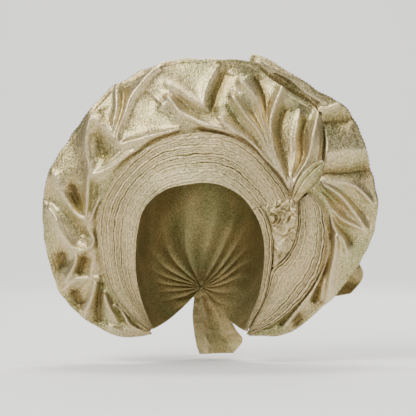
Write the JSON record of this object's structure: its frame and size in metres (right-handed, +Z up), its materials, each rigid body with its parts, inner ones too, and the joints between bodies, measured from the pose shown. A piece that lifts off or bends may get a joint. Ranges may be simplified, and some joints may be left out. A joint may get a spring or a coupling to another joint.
{
  "type": "tied gele head tie",
  "caption": "Tied gele head wrap: fine pleats framing the face, wide ruffled fans standing round them, gathered into a crumpled knot over one temple.",
  "frame": {"origin": "crown of the head, where the inside of the cap sits on it", "axes": "+X to the wearer's left, right in the picture; +Y to the back of the head; +Z up"},
  "size_m": [0.4049, 0.1879, 0.371],
  "materials": {
    "pleated_cloth": "fine pleats of metallic shimmer cloth",
    "fan_cloth": "stiff champagne gold metallic shimmer cloth",
    "back_cloth": "same cloth, plain, in its darker olive tone"
  },
  "bodies": {
    "root": {"pleat_arch": "pleated_cloth", "cheek_pleats": "pleated_cloth", "side_pleats": "pleated_cloth", "crown_fan": "fan_cloth", "side_fan": "fan_cloth", "tucked_leaf": "fan_cloth", "knot_puff": "fan_cloth", "knot_fold": "fan_cloth", "lower_puff": "fan_cloth", "head_cap": "back_cloth", "nape_knot": "back_cloth", "side_tail": "back_cloth", "nape_tail": "back_cloth"}
  },
  "joints": []
}
